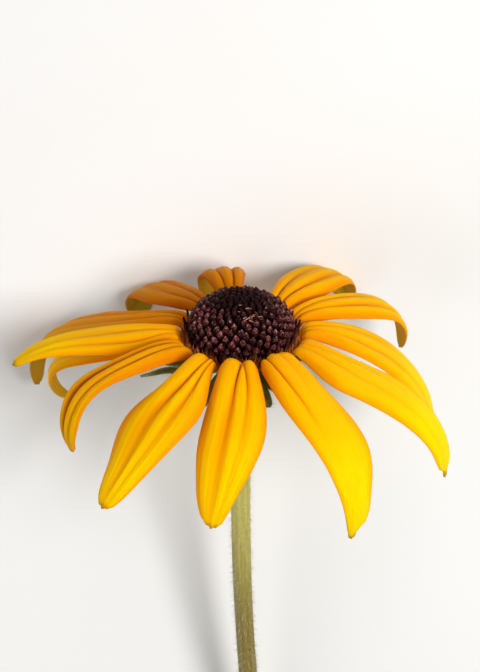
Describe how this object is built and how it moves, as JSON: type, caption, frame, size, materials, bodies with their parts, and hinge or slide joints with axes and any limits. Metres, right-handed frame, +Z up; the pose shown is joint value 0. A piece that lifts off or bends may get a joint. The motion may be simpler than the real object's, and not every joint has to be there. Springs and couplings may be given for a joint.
{
  "type": "black eyed susan flower",
  "caption": "Cut black eyed susan flower lying on its side: arched yellow petals round a dark domed disc, green bracts and a bare stem.",
  "frame": {"origin": "on the surface that the flower lies on, under the middle of its bounding box", "axes": "+Z up from that surface, +Y along the flower from the cut end of the stem to the head, +X to the right when looking along +Y"},
  "size_m": [0.0656, 0.1464, 0.0483],
  "materials": {
    "stem": "soft hairy green",
    "involucre": "soft hairy green",
    "disc": "satin dark florets",
    "petal": "satin petal"
  },
  "bodies": {
    "root": {"stem": "stem", "involucre": "involucre", "disc_cone": "disc", "ray_floret_01": "petal", "ray_floret_02": "petal", "ray_floret_03": "petal", "ray_floret_04": "petal", "ray_floret_05": "petal", "ray_floret_06": "petal", "ray_floret_07": "petal", "ray_floret_08": "petal", "ray_floret_09": "petal", "ray_floret_10": "petal", "ray_floret_11": "petal", "ray_floret_12": "petal", "ray_floret_13": "petal", "ray_floret_14": "petal"}
  },
  "joints": []
}
